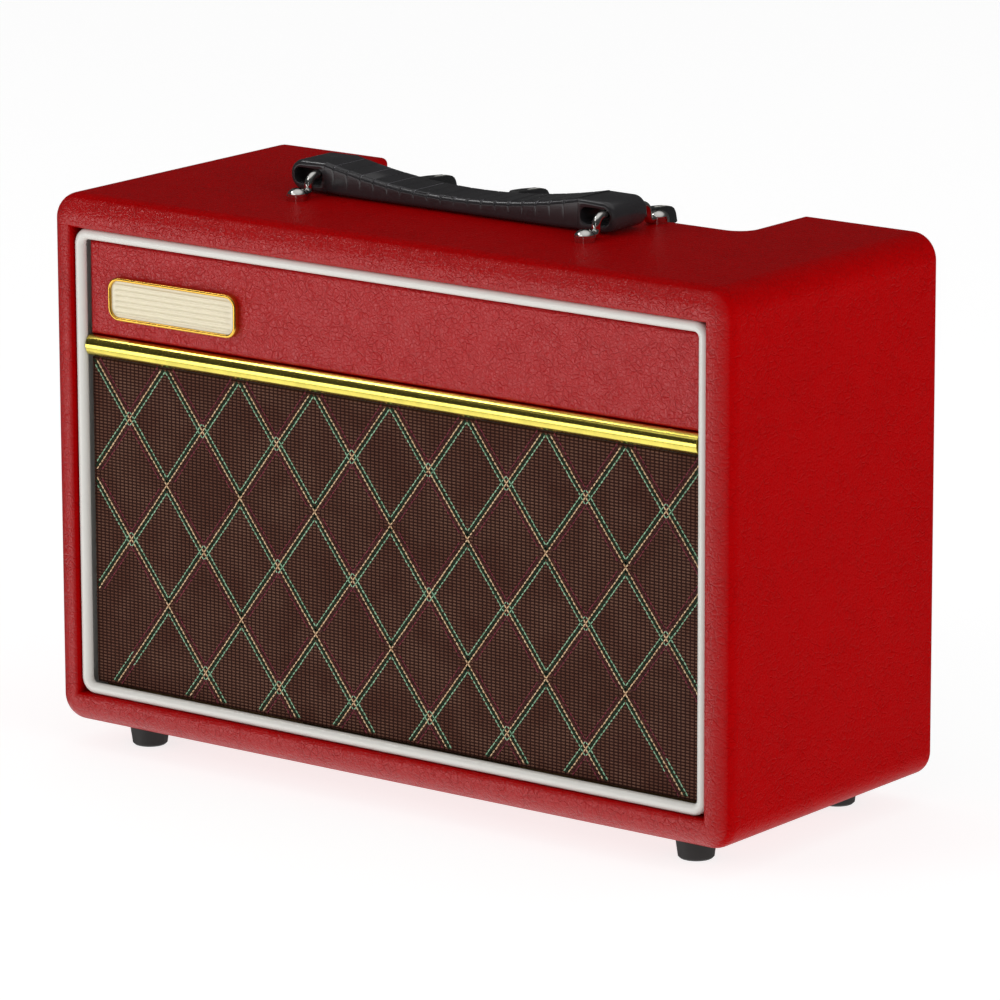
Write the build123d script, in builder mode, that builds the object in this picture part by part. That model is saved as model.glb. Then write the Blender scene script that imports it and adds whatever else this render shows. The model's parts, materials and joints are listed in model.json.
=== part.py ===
from build123d import *
import os
from math import cos, radians, sin

# A small solid-state practice amplifier for electric guitar: a covered wooden cabinet with an open
# back, one loudspeaker, a control panel sunk in the top at the rear, and a strap handle.
#
# Frame: the origin is on the floor under the middle of the cabinet. +Z is up, -Y is the front
# (the grille cloth) and +X is to the right for someone who faces the front. Millimetres.

# ---- driving dimensions ----------------------------------------------------------------------

cabinet_width = 380.0
cabinet_depth = 160.0
cabinet_height = 248.0
foot_height = 12.0

# wall thicknesses with the covering on both faces
side_wall = 12.5
top_wall = 15.0
bottom_wall = 14.0

covering = 0.8
covering_turn_in = 11.0
corner_radius = 12.0
front_edge_radius = 9.5
rear_edge_radius = 3.0
front_lip_radius = 2.4

# the notch in the top board that holds the controls
notch_width = 236.0
notch_front_y = 33.0
notch_corner_radius = 8.0

# the front
piping_diameter = 5.2
piping_centre_behind_front = 4.8
piping_bend_radius = 5.0
baffle_front_y = -69.0
baffle_thickness = 12.0
baffle_width = 342.0
cloth_front_y = -72.5
cloth_thickness = 0.6
trim_bar_bottom = 185.4
trim_bar_height = 9.8
upper_panel_top = 239.5
upper_panel_front_y = -73.5
front_trim_width = 343.2

# the strap handle and its two wire loops
loop_x = (-86.5, 75.5)
loop_wire_diameter = 4.0
loop_leg_y = 19.0
loop_top_z = 269.4
loop_screw_y = 27.5
strap_left = -103.0
strap_right = 81.0
strap_width = 25.0
strap_bottom = 260.6
strap_slot_length = 16.2
strap_slot_height = 7.6
strap_slot_z = 268.0

# the loudspeaker, on the axis through (0, y, speaker_z)
speaker_z = 113.0
speaker_flange_radius = 82.5
speaker_hole_radius = 70.5

# the control panel
sheet_steel = 1.2
fascia_thickness = 0.8
control_y = 56.0
input_jack_x = -105.0
gain_x = -74.0
overdrive_x = -47.0
treble_x = -20.0
bass_x = 15.7
volume_x = 51.4
headphone_jack_x = 76.0
pilot_lamp_x = 90.0
power_switch_x = 103.0
jack_bore_radius = 3.25
rocker_tilt = 10.0
rocker_pin_radius = 1.0

# ---- worked-out places -----------------------------------------------------------------------

half_width = cabinet_width / 2
half_depth = cabinet_depth / 2
bottom_z = foot_height
top_z = foot_height + cabinet_height
middle_z = (bottom_z + top_z) / 2

opening_half_width = half_width - side_wall
opening_bottom = bottom_z + bottom_wall
opening_top = top_z - top_wall

cavity_half_width = opening_half_width + covering
cavity_bottom = opening_bottom - covering
cavity_top = opening_top + covering

baffle_back_y = baffle_front_y + baffle_thickness
baffle_bottom = opening_bottom + piping_diameter + 0.6
trim_bar_top = trim_bar_bottom + trim_bar_height

panel_underside = cavity_top - sheet_steel
chassis_flange_half_width = 134.0
fascia_top = cavity_top + fascia_thickness
potentiometer_x = {"gain": gain_x, "treble": treble_x, "bass": bass_x, "volume": volume_x}
jack_x = (input_jack_x, headphone_jack_x)

batten = 12.0
front_batten_depth = 14.0
back_panel_front_y = 69.0
back_panel_back_y = 78.0
lower_panel_top = 140.0
upper_panel_bottom = 186.0
foot_positions = [(x, y) for x in (-156.0, 156.0) for y in (-54.0, 54.0)]

screw_radius = 1.75


# ---- helpers ---------------------------------------------------------------------------------

def front_plane(y):
    """The plane at this depth that faces the front: sketch x is X, sketch y is Z."""
    return Plane.XZ.offset(-y)


def save(builder, name):
    """Label one finished piece and write it."""
    builder.part.label = name
    export_step(builder.part, f"parts/{name}.step")


def slab(x_range, y_range, z_range, mode=Mode.ADD):
    """A rectangular block between two corners, in the current part."""
    middle = [(low + high) / 2 for low, high in (x_range, y_range, z_range)]
    size = [high - low for low, high in (x_range, y_range, z_range)]
    with Locations(tuple(middle)):
        Box(*size, mode=mode)


def rod(start, end, radius, mode=Mode.ADD):
    """A straight round bar from start to end, in the current part."""
    start = Vector(start)
    end = Vector(end)
    with BuildSketch(Plane(origin=start, z_dir=end - start)) as section:
        Circle(radius)
    extrude(section.sketch, amount=(end - start).length, mode=mode)


def turned(points, centre_z, mode=Mode.ADD):
    """A ring turned about the Y axis at this height, from (radius, y) points."""
    with BuildSketch(Plane.XY.offset(centre_z)) as section:
        with BuildLine():
            Polyline(*points, close=True)
        make_face()
    revolve(section.sketch, axis=Axis((0, 0, centre_z), (0, 1, 0)), mode=mode)


def wire(points, radius):
    """A wire along straight runs joined by arcs as large as the runs allow."""
    points = [Vector(p) for p in points]
    radii = []
    for before, corner, after in zip(points, points[1:], points[2:]):
        shorter = min((corner - before).length, (after - corner).length)
        turn = (corner - before).get_angle(after - corner)
        radii.append(0.45 * shorter / max(0.05, sin(radians(turn / 2)) / cos(radians(turn / 2))))
    with BuildLine():
        route = FilletPolyline(*points, radius=radii)
    with BuildSketch(Plane(origin=route @ 0, z_dir=route % 0)) as section:
        Circle(radius)
    sweep(section.sketch, path=route)
    print("wire radii", [round(r, 1) for r in radii], "length", round(route.length, 1))


def cabinet_form(inset):
    """The cabinet as a solid block with its notch, drawn in evenly by the inset."""
    notch_length = half_depth - notch_front_y + 20.0
    with BuildPart() as form:
        with BuildSketch(front_plane(-half_depth + inset)):
            with Locations((0, middle_z)):
                RectangleRounded(cabinet_width - 2 * inset, cabinet_height - 2 * inset,
                                 corner_radius - inset)
        extrude(amount=-(cabinet_depth - 2 * inset))
        fillet(form.faces().sort_by(Axis.Y)[0].edges(), front_edge_radius - inset)
        with BuildSketch(Plane.XY.offset(opening_top + inset)):
            with Locations((0, notch_front_y - inset + notch_length / 2)):
                Rectangle(notch_width + 2 * inset, notch_length)
        extrude(amount=top_wall + 20.0, mode=Mode.SUBTRACT)
        inside_corners = form.edges().filter_by(Axis.Z)
        inside_corners = inside_corners.filter_by(lambda e: abs(e.center().Y - notch_front_y) < 5)
        fillet(inside_corners, notch_corner_radius + inset)
        rear_edges = form.faces().sort_by(Axis.Y)[-1].edges()
        rear_edges = rear_edges.filter_by(lambda e: not (abs(e.center().X) < 1
                                                         and e.center().Z > middle_z))
        top_edges = form.faces().sort_by(Axis.Z)[-1].edges()
        notch_edges = top_edges.filter_by(lambda e: abs(e.center().X) < notch_width / 2 + 5
                                          and notch_front_y - 5 < e.center().Y < half_depth - 5)
        fillet(rear_edges + notch_edges, rear_edge_radius - inset)
    return form.part


def front_lip_edges(builder):
    """The four edges where the opening meets the front face."""
    front_face = builder.faces().sort_by(Axis.Y)[0]
    return front_face.inner_wires()[0].edges()


def drill(positions, z_low, z_high, radius):
    """Upright holes at (x, y) positions in the current part."""
    for x, y in positions:
        rod((x, y, z_low), (x, y, z_high), radius, mode=Mode.SUBTRACT)


os.makedirs("parts", exist_ok=True)

# ---- the wooden cabinet and its covering -----------------------------------------------------

handle_screw_positions = [(x, y) for x in loop_x for y in (-loop_screw_y, loop_screw_y)]
chassis_screw_positions = [(x, y) for x in (-128.0, 128.0) for y in (20.0, 60.0)]
chassis_screw_positions += [(-50.0, 18.0), (50.0, 18.0)]
transformer_x = 125.0
transformer_y = 22.0
transformer_screw_positions = [(transformer_x - 31.0, transformer_y),
                               (transformer_x + 31.0, transformer_y)]

with BuildPart() as board_shell:
    add(cabinet_form(covering))
    slab((-cavity_half_width, cavity_half_width), (-cabinet_depth, cabinet_depth),
         (cavity_bottom, cavity_top), mode=Mode.SUBTRACT)
    fillet(front_lip_edges(board_shell), front_lip_radius - covering)

with BuildPart() as top_board:
    add(board_shell.part)
    slab((-cavity_half_width, cavity_half_width), (-half_depth, half_depth),
         (cavity_top, top_z), mode=Mode.INTERSECT)
    drill(handle_screw_positions, 248.0, top_z, screw_radius)
    drill(chassis_screw_positions, cavity_top, 255.0, screw_radius)
save(top_board, "top_board")

with BuildPart() as bottom_board:
    add(board_shell.part)
    slab((-cavity_half_width, cavity_half_width), (-half_depth, half_depth),
         (bottom_z, cavity_bottom), mode=Mode.INTERSECT)
    drill(foot_positions, bottom_z, 22.0, screw_radius)
    drill(transformer_screw_positions, 16.0, cavity_bottom, screw_radius)
save(bottom_board, "bottom_board")

for name, side in (("left_side_board", -1), ("right_side_board", 1)):
    near, far = sorted((side * cavity_half_width, side * half_width))
    with BuildPart() as side_board:
        add(board_shell.part)
        slab((near, far), (-half_depth, half_depth), (bottom_z, top_z), mode=Mode.INTERSECT)
    save(side_board, name)

with BuildPart() as vinyl_covering:
    add(cabinet_form(0.0))
    slab((-opening_half_width, opening_half_width), (-cabinet_depth, cabinet_depth),
         (opening_bottom, opening_top), mode=Mode.SUBTRACT)
    fillet(front_lip_edges(vinyl_covering), front_lip_radius)
    add(board_shell.part, mode=Mode.SUBTRACT)
    slab((-cavity_half_width, cavity_half_width),
         (-half_depth + covering_turn_in, half_depth - covering_turn_in),
         (cavity_bottom, cavity_top), mode=Mode.SUBTRACT)
    slab((-chassis_flange_half_width - 1.0, chassis_flange_half_width + 1.0),
         (0.0, cabinet_depth), (opening_top - 1.0, cavity_top), mode=Mode.SUBTRACT)
    drill(handle_screw_positions, top_z - 5.0, top_z + 1.0, screw_radius)
    drill(foot_positions, bottom_z - 1.0, bottom_z + 5.0, screw_radius)
save(vinyl_covering, "vinyl_covering")

# battens glued inside the cabinet: the baffle is screwed to the front ones, the back to the rear
with BuildPart() as inner_battens:
    front_span = (baffle_back_y, baffle_back_y + front_batten_depth)
    rear_span = (back_panel_front_y - batten, back_panel_front_y)
    joint_gap = 0.3
    upright_bottom = cavity_bottom + batten + joint_gap
    for side in (-1, 1):
        upright = sorted((side * (cavity_half_width - batten), side * cavity_half_width))
        slab(upright, front_span, (upright_bottom, cavity_top - batten - joint_gap))
        slab(upright, rear_span, (upright_bottom, cavity_top - 6.0))
        slab(sorted((side * 62.0, side * cavity_half_width)), front_span,
             (cavity_bottom, cavity_bottom + batten))
    slab((-cavity_half_width, cavity_half_width), front_span, (cavity_top - batten, cavity_top))
    slab((-cavity_half_width, cavity_half_width), rear_span,
         (cavity_bottom, cavity_bottom + batten))
    baffle_screw_places = [(x, z) for x in (-168.6, 168.6) for z in (60.0, 130.0, 205.0)]
    for x, z in baffle_screw_places:
        rod((x, front_span[0], z), (x, front_span[1], z), screw_radius, mode=Mode.SUBTRACT)
    back_screw_places = [(x, z) for x in (-172.0, 172.0) for z in (50.0, 125.0, 200.0, 232.0)]
    back_screw_places += [(-80.0, 31.4), (80.0, 31.4)]
    for x, z in back_screw_places:
        rod((x, 60.0, z), (x, back_panel_front_y, z), screw_radius, mode=Mode.SUBTRACT)
save(inner_battens, "inner_battens")

# ---- the front: baffle, cloth, upper panel, trim ---------------------------------------------

badge_centre = (-120.8, 214.0)
badge_size = (75.2, 20.0)
badge_pin_x = [badge_centre[0] - 28.0, badge_centre[0] + 28.0]
speaker_bolt_places = [(77.2 * cos(radians(a)), speaker_z + 77.2 * sin(radians(a)))
                       for a in (45, 135, 225, 315)]

with BuildPart() as baffle_board:
    with BuildSketch(front_plane(baffle_front_y)):
        with Locations((0, (baffle_bottom + upper_panel_top) / 2)):
            Rectangle(baffle_width, upper_panel_top - baffle_bottom)
        with Locations((0, speaker_z)):
            Circle(speaker_hole_radius, mode=Mode.SUBTRACT)
    extrude(amount=-baffle_thickness)
    for x, z in speaker_bolt_places:
        rod((x, baffle_back_y - 9.0, z), (x, baffle_back_y, z), 2.0, mode=Mode.SUBTRACT)
    for x, z in baffle_screw_places:
        rod((x, baffle_back_y - 8.0, z), (x, baffle_back_y, z), screw_radius, mode=Mode.SUBTRACT)
    for x in badge_pin_x:
        rod((x, baffle_front_y, badge_centre[1]), (x, baffle_front_y + 4.0, badge_centre[1]),
            1.5, mode=Mode.SUBTRACT)
save(baffle_board, "baffle_board")

grille_frame_bar = 13.0
cloth_back_y = cloth_front_y + cloth_thickness
with BuildPart() as grille_frame:
    frame_height = trim_bar_bottom - 0.6 - baffle_bottom
    with BuildSketch(front_plane(cloth_back_y)):
        with Locations((0, baffle_bottom + frame_height / 2)):
            Rectangle(baffle_width, frame_height)
            Rectangle(baffle_width - 2 * grille_frame_bar, frame_height - 2 * grille_frame_bar,
                      mode=Mode.SUBTRACT)
    extrude(amount=-(baffle_front_y - cloth_back_y))
save(grille_frame, "grille_frame")

cloth_bottom = baffle_bottom - 0.6
cloth_top = trim_bar_bottom - 0.2
with BuildPart() as grille_cloth:
    with BuildSketch(front_plane(cloth_front_y)):
        with Locations((0, (cloth_bottom + cloth_top) / 2)):
            Rectangle(front_trim_width, cloth_top - cloth_bottom)
    extrude(amount=-cloth_thickness)
save(grille_cloth, "grille_cloth")

with BuildPart() as upper_front_panel:
    panel_low = trim_bar_top + 0.2
    with BuildSketch(front_plane(upper_panel_front_y)):
        with Locations((0, (panel_low + upper_panel_top) / 2)):
            Rectangle(front_trim_width, upper_panel_top - panel_low)
    extrude(amount=-(baffle_front_y - upper_panel_front_y))
    fillet(upper_front_panel.faces().sort_by(Axis.Y)[0].edges(), 2.2)
    for x in badge_pin_x:
        rod((x, upper_panel_front_y, badge_centre[1]), (x, baffle_front_y, badge_centre[1]),
            1.5, mode=Mode.SUBTRACT)
save(upper_front_panel, "upper_front_panel")

with BuildPart() as gold_trim_bar:
    trim_front_y = -77.0
    trim_edge_y = -73.6
    with BuildSketch(Plane.YZ.offset(-front_trim_width / 2)):
        with BuildLine():
            ThreePointArc((trim_edge_y, trim_bar_bottom),
                          (trim_front_y, (trim_bar_bottom + trim_bar_top) / 2),
                          (trim_edge_y, trim_bar_top))
            Polyline((trim_edge_y, trim_bar_top), (baffle_front_y, trim_bar_top),
                     (baffle_front_y, trim_bar_bottom), (trim_edge_y, trim_bar_bottom))
        make_face()
    extrude(amount=front_trim_width)
save(gold_trim_bar, "gold_trim_bar")

# a round bead with a flat stitched-on tape that is stapled inside the opening
with BuildPart() as front_piping:
    piping_gap = 0.1
    bead_radius = piping_diameter / 2
    bead_half_width = opening_half_width - piping_gap - bead_radius
    bead_low = opening_bottom + piping_gap + bead_radius
    bead_high = opening_top - piping_gap - bead_radius
    bead_y = -half_depth + piping_centre_behind_front
    with BuildLine(front_plane(bead_y)) as bead_line:
        FilletPolyline((0, bead_low), (bead_half_width, bead_low), (bead_half_width, bead_high),
                       (-bead_half_width, bead_high), (-bead_half_width, bead_low),
                       (-0.01, bead_low), radius=piping_bend_radius)
    with BuildSketch(Plane(origin=(0, bead_y, bead_low), z_dir=(1, 0, 0))):
        Circle(bead_radius)
    sweep(path=bead_line.line)
    tape = 0.8
    tape_width = 2 * (opening_half_width - piping_gap)
    tape_height = opening_top - opening_bottom - 2 * piping_gap
    with BuildSketch(front_plane(bead_y)):
        with Locations((0, (opening_bottom + opening_top) / 2)):
            RectangleRounded(tape_width, tape_height, bead_radius + piping_bend_radius)
            RectangleRounded(tape_width - 2 * tape, tape_height - 2 * tape,
                             bead_radius + piping_bend_radius - tape, mode=Mode.SUBTRACT)
    extrude(amount=-12.0)
save(front_piping, "front_piping")

with BuildPart() as badge:
    badge_thickness = 3.0
    rim = 1.6
    with BuildSketch(front_plane(upper_panel_front_y - badge_thickness)):
        with Locations(badge_centre):
            RectangleRounded(*badge_size, 6.0)
    extrude(amount=-badge_thickness)
    with BuildSketch(front_plane(upper_panel_front_y - badge_thickness)):
        with Locations(badge_centre):
            RectangleRounded(badge_size[0] - 2 * rim, badge_size[1] - 2 * rim, 6.0 - rim)
    extrude(amount=-1.0, mode=Mode.SUBTRACT)
    with BuildSketch(front_plane(upper_panel_front_y - badge_thickness + 0.3)):
        with Locations(badge_centre):
            with GridLocations(0, 2.6, 1, 6):
                Rectangle(badge_size[0] - 8.0, 1.5)
    extrude(amount=-1.0)
    for x in badge_pin_x:
        rod((x, upper_panel_front_y - 1.0, badge_centre[1]),
            (x, baffle_front_y + 3.8, badge_centre[1]), 1.5)
save(badge, "badge")

# ---- the feet --------------------------------------------------------------------------------

with BuildPart() as rubber_feet:
    for x, y in foot_positions:
        with BuildSketch(Plane.XZ.offset(-y)):
            with BuildLine():
                Polyline((x, 0), (x + 7.3, 0), (x + 8.1, 0.8), (x + 9.5, 10.8),
                         (x + 8.6, foot_height), (x, foot_height), close=True)
            make_face()
        revolve(axis=Axis((x, y, 0), (0, 0, 1)))
        rod((x, y, 0), (x, y, 5.0), 4.6, mode=Mode.SUBTRACT)
        rod((x, y, 0), (x, y, foot_height), screw_radius, mode=Mode.SUBTRACT)
save(rubber_feet, "rubber_feet")

with BuildPart() as foot_screws:
    for x, y in foot_positions:
        rod((x, y, 2.4), (x, y, 5.0), 3.8)
        rod((x, y, 5.0), (x, y, 22.0), screw_radius)
save(foot_screws, "foot_screws")

# ---- the strap handle ------------------------------------------------------------------------

with BuildPart() as handle_loops:
    wire_radius = loop_wire_diameter / 2
    foot_z = top_z + wire_radius + 0.1
    eye_top = top_z + 2.3
    for x in loop_x:
        with BuildLine(Plane.YZ.offset(x)) as loop_line:
            FilletPolyline((-24.0, foot_z), (-loop_leg_y, foot_z), (-loop_leg_y, loop_top_z),
                           (loop_leg_y, loop_top_z), (loop_leg_y, foot_z), (24.0, foot_z),
                           radius=[2.5, 3.8, 3.8, 2.5])
        with BuildSketch(Plane(origin=(x, -24.0, foot_z), z_dir=(0, 1, 0))):
            Circle(wire_radius)
        sweep(path=loop_line.line)
        for y in (-loop_screw_y, loop_screw_y):
            rod((x, y, top_z), (x, y, eye_top), 4.8)
            rod((x, y, eye_top), (x, y, eye_top + 3.0), 4.8, mode=Mode.SUBTRACT)
            rod((x, y, top_z), (x, y, eye_top), screw_radius, mode=Mode.SUBTRACT)
save(handle_loops, "handle_loops")

with BuildPart() as handle_screws:
    for x, y in handle_screw_positions:
        rod((x, y, 248.0), (x, y, eye_top), screw_radius)
        with BuildSketch(Plane.XZ.offset(-y)):
            with BuildLine():
                Line((x, eye_top), (x + 4.5, eye_top))
                Line((x + 4.5, eye_top), (x + 4.5, eye_top + 0.8))
                ThreePointArc((x + 4.5, eye_top + 0.8), (x + 2.9, eye_top + 2.5),
                              (x, eye_top + 3.2))
                Line((x, eye_top + 3.2), (x, eye_top))
            make_face()
        revolve(axis=Axis((x, y, 0), (0, 0, 1)))
        with Locations((x, y, eye_top + 3.2)):
            Box(5.0, 0.9, 1.6, mode=Mode.SUBTRACT)
            Box(0.9, 5.0, 1.6, mode=Mode.SUBTRACT)
save(handle_screws, "handle_screws")

strap_box = 22.0
strap_middle_x = (strap_left + strap_right) / 2
strip_span = (strap_left + strap_box + 1.0, strap_right - strap_box - 1.0)
strip_z = (263.4, 264.6)
with BuildPart() as handle_grip:
    with BuildSketch(front_plane(-strap_width / 2)) as profile:
        with BuildLine():
            Spline((strap_left + strap_box, 273.6), (strap_middle_x - 30.0, 268.9),
                   (strap_middle_x, 267.8), (strap_middle_x + 30.0, 268.9),
                   (strap_right - strap_box, 273.6), tangents=((1, -0.12), (1, 0.12)))
            Polyline((strap_right - strap_box, 273.6), (strap_right - 10.0, 275.2),
                     (strap_right, 275.2), (strap_right, 261.2),
                     (strap_right - strap_box, 261.2), (strap_right - strap_box - 10.0,
                                                        strap_bottom))
            Line((strap_right - strap_box - 10.0, strap_bottom),
                 (strap_left + strap_box + 10.0, strap_bottom))
            Polyline((strap_left + strap_box + 10.0, strap_bottom),
                     (strap_left + strap_box, 261.2), (strap_left, 261.2),
                     (strap_left, 275.2), (strap_left + 10.0, 275.2),
                     (strap_left + strap_box, 273.6))
        make_face()
        ends = profile.vertices().group_by(Axis.X)
        fillet(ends[0] + ends[-1], 6.0)
    extrude(amount=-strap_width)
    with BuildSketch(front_plane(-strap_width)):
        for x in loop_x:
            with Locations((x + loop_wire_diameter / 2 + 0.5 - strap_slot_length / 2,
                            strap_slot_z)):
                RectangleRounded(strap_slot_length, strap_slot_height, 3.2)
    extrude(amount=-2 * strap_width, mode=Mode.SUBTRACT)
    slab(strip_span, (-8.0, 8.0), strip_z, mode=Mode.SUBTRACT)
save(handle_grip, "handle_grip")

with BuildPart() as handle_steel_strip:
    slab(strip_span, (-8.0, 8.0), strip_z)
save(handle_steel_strip, "handle_steel_strip")

# ---- the control panel -----------------------------------------------------------------------

rocker_opening = (13.2, 19.2)
chassis_half_width = 122.0
chassis_front_y = 24.0
chassis_rear_y = 78.0
chassis_bottom = 198.0
inlet_x = -45.0
inlet_z = 213.0
inlet_body = (27.0, 19.8)


def cut_control_holes(low, high):
    """The holes that every control passes through, in the current part."""
    drill([(x, control_y) for x in potentiometer_x.values()], low, high, 3.6)
    drill([(x, control_y) for x in jack_x], low, high, 6.1)
    drill([(overdrive_x, control_y)], low, high, 4.0)
    drill([(pilot_lamp_x, control_y)], low, high, 3.1)
    slab((power_switch_x - rocker_opening[0] / 2, power_switch_x + rocker_opening[0] / 2),
         (control_y - rocker_opening[1] / 2, control_y + rocker_opening[1] / 2),
         (low, high), mode=Mode.SUBTRACT)


with BuildPart() as control_chassis:
    flange_front_y = 12.0
    slab((-chassis_flange_half_width, chassis_flange_half_width),
         (flange_front_y, chassis_rear_y), (panel_underside, cavity_top))
    slab((-chassis_half_width, chassis_half_width), (chassis_front_y, chassis_rear_y),
         (chassis_bottom, panel_underside))
    slab((-chassis_half_width + sheet_steel, chassis_half_width - sheet_steel),
         (chassis_front_y + sheet_steel, chassis_rear_y - sheet_steel),
         (chassis_bottom, panel_underside), mode=Mode.SUBTRACT)
    cut_control_holes(panel_underside, cavity_top)
    drill(chassis_screw_positions, panel_underside, cavity_top, screw_radius)
    slab((inlet_x - inlet_body[0] / 2, inlet_x + inlet_body[0] / 2),
         (chassis_rear_y - 2.0, chassis_rear_y),
         (inlet_z - inlet_body[1] / 2, inlet_z + inlet_body[1] / 2), mode=Mode.SUBTRACT)
save(control_chassis, "control_chassis")

with BuildPart() as control_fascia:
    fascia_margin = 0.4
    fascia_front_y = notch_front_y + fascia_margin
    fascia_corner = notch_corner_radius - fascia_margin
    fascia_half = notch_width / 2 - fascia_margin
    with BuildSketch(Plane.XY.offset(cavity_top)):
        with Locations((0, (fascia_front_y + chassis_rear_y) / 2)):
            Rectangle(2 * fascia_half, chassis_rear_y - fascia_front_y)
    extrude(amount=fascia_thickness)
    fillet(control_fascia.edges().filter_by(Axis.Z).group_by(Axis.Y)[0], fascia_corner)
    cut_control_holes(cavity_top, fascia_top)
save(control_fascia, "control_fascia")

with BuildPart() as inside_screws:
    for x, y in chassis_screw_positions:
        rod((x, y, panel_underside - 2.4), (x, y, panel_underside), 3.6)
        rod((x, y, panel_underside), (x, y, 255.0), screw_radius)
    for x, z in baffle_screw_places:
        rod((x, front_span[1], z), (x, front_span[1] + 2.4, z), 3.6)
        rod((x, baffle_back_y - 8.0, z), (x, front_span[1], z), screw_radius)
    for x, y in transformer_screw_positions:
        rod((x, y, cavity_bottom + 1.5), (x, y, cavity_bottom + 3.9), 3.6)
        rod((x, y, 16.0), (x, y, cavity_bottom + 1.5), screw_radius)
save(inside_screws, "inside_screws")

with BuildPart() as jack_sockets:
    for x in jack_x:
        slab((x - 8.0, x + 8.0), (control_y - 8.0, control_y + 8.0), (211.0, panel_underside))
        rod((x, control_y, panel_underside), (x, control_y, fascia_top + 3.2), 5.9)
        rod((x, control_y, 213.0), (x, control_y, fascia_top + 3.2), jack_bore_radius,
            mode=Mode.SUBTRACT)
        for lug_x in (-4.5, 0.0, 4.5):
            slab((x + lug_x - 0.9, x + lug_x + 0.9), (control_y - 5.0, control_y - 4.4),
                 (205.5, 211.0))
save(jack_sockets, "jack_sockets")

with BuildPart() as potentiometer_bodies:
    for x in potentiometer_x.values():
        rod((x, control_y, 237.2), (x, control_y, panel_underside), 8.2)
        rod((x, control_y, panel_underside), (x, control_y, 251.0), 3.5)
        rod((x, control_y, 238.6), (x, control_y, 251.0), 3.05, mode=Mode.SUBTRACT)
        for pin_x in (-5.0, 0.0, 5.0):
            slab((x + pin_x - 0.6, x + pin_x + 0.6), (control_y - 11.0, control_y - 10.4),
                 (230.6, 239.0))
            slab((x + pin_x - 0.6, x + pin_x + 0.6), (control_y - 11.0, control_y - 5.0),
                 (238.4, 239.0))
save(potentiometer_bodies, "potentiometer_bodies")

with BuildPart() as panel_nuts:
    for x in potentiometer_x.values():
        with BuildSketch(Plane.XY.offset(fascia_top)):
            with Locations((x, control_y)):
                RegularPolygon(5.7, 6)
                Circle(3.5, mode=Mode.SUBTRACT)
        extrude(amount=2.0)
    for x in jack_x:
        with BuildSketch(Plane.XY.offset(fascia_top)):
            with Locations((x, control_y)):
                RegularPolygon(8.0, 6)
                Circle(5.9, mode=Mode.SUBTRACT)
        extrude(amount=2.6)
save(panel_nuts, "panel_nuts")

with BuildPart() as pilot_lamp:
    rod((pilot_lamp_x, control_y, 237.0), (pilot_lamp_x, control_y, fascia_top), 3.0)
    rod((pilot_lamp_x, control_y, fascia_top), (pilot_lamp_x, control_y, fascia_top + 1.2), 4.2)
    rod((pilot_lamp_x, control_y, fascia_top + 1.2), (pilot_lamp_x, control_y, fascia_top + 1.8),
        2.5)
    with Locations((pilot_lamp_x, control_y, fascia_top + 1.8)):
        Sphere(2.5)
save(pilot_lamp, "pilot_lamp")

# potentiometer shafts and pointer knobs; each pair turns together
knob_bottom = fascia_top + 0.8
skirt_top = 250.6
knob_top = 261.0
for name, x in potentiometer_x.items():
    with BuildPart() as shaft:
        rod((x, control_y, 238.8), (x, control_y, 257.8), 3.0)
    save(shaft, f"{name}_shaft")

    with BuildPart() as knob:
        rod((x, control_y, knob_bottom), (x, control_y, skirt_top + 0.4), 9.5)
        with BuildSketch(Plane(origin=(x, control_y, skirt_top))):
            with BuildLine():
                Polyline((-4.6, -12.2), (4.6, -12.2), (7.0, -6.0), (7.0, 2.0), (1.4, 17.1),
                         (-1.4, 17.1), (-7.0, 2.0), (-7.0, -6.0), close=True)
            make_face()
        with BuildSketch(Plane(origin=(x, control_y, knob_top))):
            with BuildLine():
                Polyline((-2.2, -9.4), (2.2, -9.4), (2.9, -5.0), (2.9, 0.5), (0.7, 15.4),
                         (-0.7, 15.4), (-2.9, 0.5), (-2.9, -5.0), close=True)
            make_face()
        loft()
        # the ridge falls a little towards the pointer's tip and is rounded off at both ends
        with BuildSketch(Plane(origin=(x, control_y, 0), x_dir=(0, 1, 0), z_dir=(1, 0, 0))):
            with BuildLine():
                Polyline((-15.0, 255.6), (-11.4, 258.6), (-8.6, 260.2), (9.5, 258.9),
                         (12.6, 258.2), (14.8, 257.0), (15.9, 255.6), (17.6, 252.0), (20.0, 252.0),
                         (20.0, 263.0), (-15.0, 263.0), close=True)
            make_face()
        extrude(amount=9.0, both=True, mode=Mode.SUBTRACT)
        rod((x, control_y, knob_bottom), (x, control_y, 251.4), 6.6, mode=Mode.SUBTRACT)
        rod((x, control_y, knob_bottom), (x, control_y, 257.8), 3.0, mode=Mode.SUBTRACT)
    save(knob, f"{name}_knob")

# the overdrive switch: a housing and a push button
with BuildPart() as overdrive_switch_body:
    slab((overdrive_x - 4.5, overdrive_x + 4.5), (control_y - 4.5, control_y + 4.5),
         (230.6, panel_underside))
    rod((overdrive_x, control_y, 233.0), (overdrive_x, control_y, panel_underside), 2.3,
        mode=Mode.SUBTRACT)
save(overdrive_switch_body, "overdrive_switch_body")

with BuildPart() as overdrive_button:
    rod((overdrive_x, control_y, 236.0), (overdrive_x, control_y, fascia_top + 0.8), 2.25)
    rod((overdrive_x, control_y, fascia_top + 0.8), (overdrive_x, control_y, 255.4), 3.6)
    fillet(overdrive_button.edges().sort_by(Axis.Z)[-1], 0.8)
save(overdrive_button, "overdrive_button")

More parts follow.
